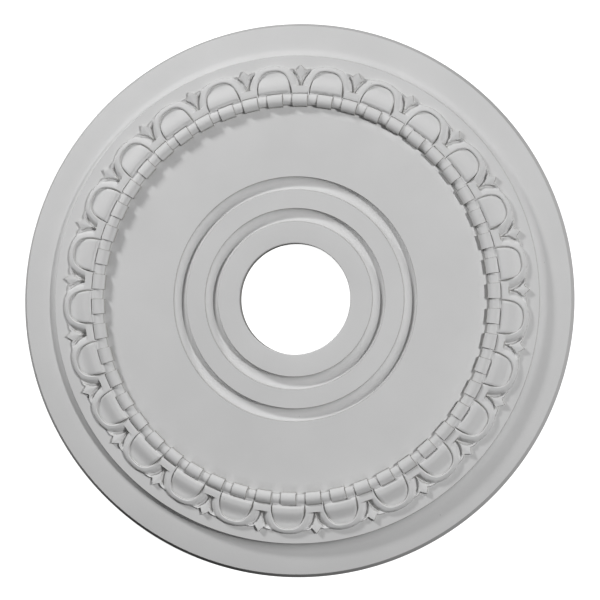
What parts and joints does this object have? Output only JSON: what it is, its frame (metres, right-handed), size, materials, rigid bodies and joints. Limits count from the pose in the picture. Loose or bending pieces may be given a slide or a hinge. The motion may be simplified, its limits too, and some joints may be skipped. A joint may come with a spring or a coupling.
{
  "type": "ceiling rose",
  "caption": "Round ceiling rose with a flat back, an egg-and-dart band, a bead-and-reel ring, two channels and a centre hole for a light fitting.",
  "frame": {"origin": "centre of the centre hole on the flat back face, which is fixed to the ceiling", "axes": "+Z out of the carved face, away from the back; +X through the middle of one egg. On a ceiling the rose is turned over, so that +Z points down into the room"},
  "size_m": [0.5079, 0.508, 0.019],
  "materials": {
    "primed_foam": "factory-primed matt white"
  },
  "bodies": {
    "root": {"ceiling_rose": "primed_foam"}
  },
  "joints": []
}
